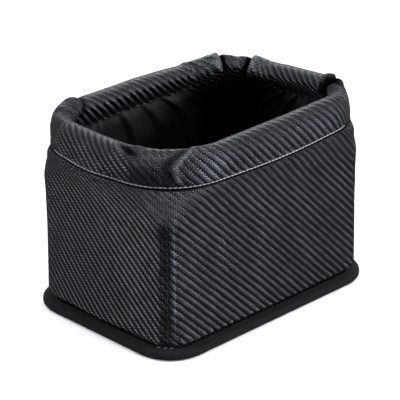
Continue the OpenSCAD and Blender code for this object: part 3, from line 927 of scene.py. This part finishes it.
# painted glint: the hem thread is dark, and its light grey stands in for the glints along it
glint_painted_thread = thread_finish("glint_painted_thread", (0.33, 0.33, 0.35))
black_thread = thread_finish("black_thread", (0.003, 0.003, 0.003), shine=0.1)
foam_grey = speckled_finish("pad_foam", (0.08, 0.08, 0.085), rough=0.9, scale=900.0, depth=0.3)
board_grey = speckled_finish("base_board_fibre", (0.12, 0.11, 0.1), rough=0.85, scale=500.0, depth=0.1)
wire_steel = speckled_finish(
    "hoop_wire", (0.55, 0.55, 0.56), rough=0.35, scale=1500.0, depth=0.02, metallic=1.0
)

for piece, nodes, slot, finish in (
    (sleeve, ["outer_sleeve"], "leathercloth", leathercloth),
    (pads[0], ["wall_pad_back"], "foam", foam_grey),
    (pads[1], ["wall_pad_left"], "foam", foam_grey),
    (pads[2], ["wall_pad_front"], "foam", foam_grey),
    (pads[3], ["wall_pad_right"], "foam", foam_grey),
    (rim_roll, ["rim_foam"], "foam", foam_grey),
    (lining, ["lining_wall"], "lining", cloth_black),
    (lining_base, ["lining_floor"], "lining", cloth_black),
    (base_sheet, ["base_cover"], "leathercloth", leathercloth),
    (tape, ["base_binding"], "tape", tape_black),
):
    piece.data.materials.append(finish)
    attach(piece, "root")
    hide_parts(*nodes)
for row, slot, finish in (
    (hem_stitches, "tape", glint_painted_thread),
    (thread_ends, "tape", glint_painted_thread),
    (base_stitches, "tape", black_thread),
    *((stitches, "tape", black_thread) for stitches in seam_stitches),
):
    row.data.materials.append(finish)
    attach(row, "root")
for node, finish in (("base_board", board_grey), ("rim_hoop", wire_steel)):
    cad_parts[node].data.materials.clear()
    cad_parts[node].data.materials.append(finish)

# ---------------------------------------------------------------- studio
FLOOR_HALF, AMBIENT = 3.0, 0.12
floor_bm = bmesh.new()
bmesh.ops.create_grid(floor_bm, x_segments=2, y_segments=2, size=FLOOR_HALF)
floor = put("studio_floor", floor_bm)
floor.data.materials.append(Bench("pale_floor", (0.97, 0.965, 0.94), 0.9).material)
# the leathercloth would otherwise mirror the white floor
floor.visible_glossy = False

world = bpy.data.worlds.new("studio")
bpy.context.scene.world = world
world.use_nodes = True
world.node_tree.nodes["Background"].inputs["Color"].default_value = (1, 1, 1, 1)
world.node_tree.nodes["Background"].inputs["Strength"].default_value = AMBIENT

LAMP_COLOUR, LAMPS_AIM = (0.9, 0.925, 1.0), Vector((0, 0, 0.07))
# Area lamps: name, place, width and height in metres, watts
LAMPS = [
    ("front", (0.06, -1.6, 0.35), 0.45, 0.5, 23),
    ("right", (1.15, -1.25, 0.55), 0.9, 0.8, 11),
    ("sparkle", (1.1, -1.2, 0.8), 0.6, 0.22, 14),
    ("left", (-1.25, 1.1, 0.55), 0.9, 0.8, 21),
    ("back", (1.3, 1.3, 1.0), 1.4, 0.8, 5),
    ("low_back", (1.3, 1.3, 0.35), 1.4, 0.3, 5),
    ("high_right", (0.66, -0.78, 1.3), 0.4, 0.3, 11),
    ("high_left", (-0.78, 0.66, 1.3), 0.4, 0.3, 10),
    ("top", (0.1, 0.1, 2.0), 1.3, 1.3, 30),
]
for name, place, wide, high, power in LAMPS:
    data = bpy.data.lights.new(name, "AREA")
    data.shape, data.size, data.size_y, data.energy = "RECTANGLE", wide, high, power
    data.color = LAMP_COLOUR
    lamp = bpy.data.objects.new(name, data)
    bpy.context.scene.collection.objects.link(lamp)
    lamp.location = place
    lamp.rotation_mode = "QUATERNION"
    lamp.rotation_quaternion = (LAMPS_AIM - Vector(place)).to_track_quat("-Z", "Y")
bpy.context.scene.view_settings.view_transform = "Standard"

# The camera, fitted to the outline of the photo: pixels of its square picture and metres
PICTURE, FOCAL, SHIFT_X, SHIFT_Y, SENSOR = 400, 2815.96, -2.77, -5.56, 36.0
CAMERA_AIM, CAMERA_AWAY = Vector((0, 0, 0.0735)), 2.0033
azimuth, elevation = math.radians(-44.88), math.radians(25.15)
level = math.cos(elevation)
back = Vector((math.sin(azimuth) * level, -math.cos(azimuth) * level, math.sin(elevation)))
lens = bpy.data.cameras.new("camera")
lens.sensor_width, lens.lens = SENSOR, FOCAL / PICTURE * SENSOR
lens.shift_x, lens.shift_y = SHIFT_X / PICTURE, SHIFT_Y / PICTURE
lens.clip_start, lens.clip_end = 0.1, 20
camera = bpy.data.objects.new("camera", lens)
bpy.context.scene.collection.objects.link(camera)
camera.location = CAMERA_AIM + back * CAMERA_AWAY
camera.rotation_mode = "QUATERNION"
camera.rotation_quaternion = (-back).to_track_quat("-Z", "Y")
bpy.context.scene.camera = camera
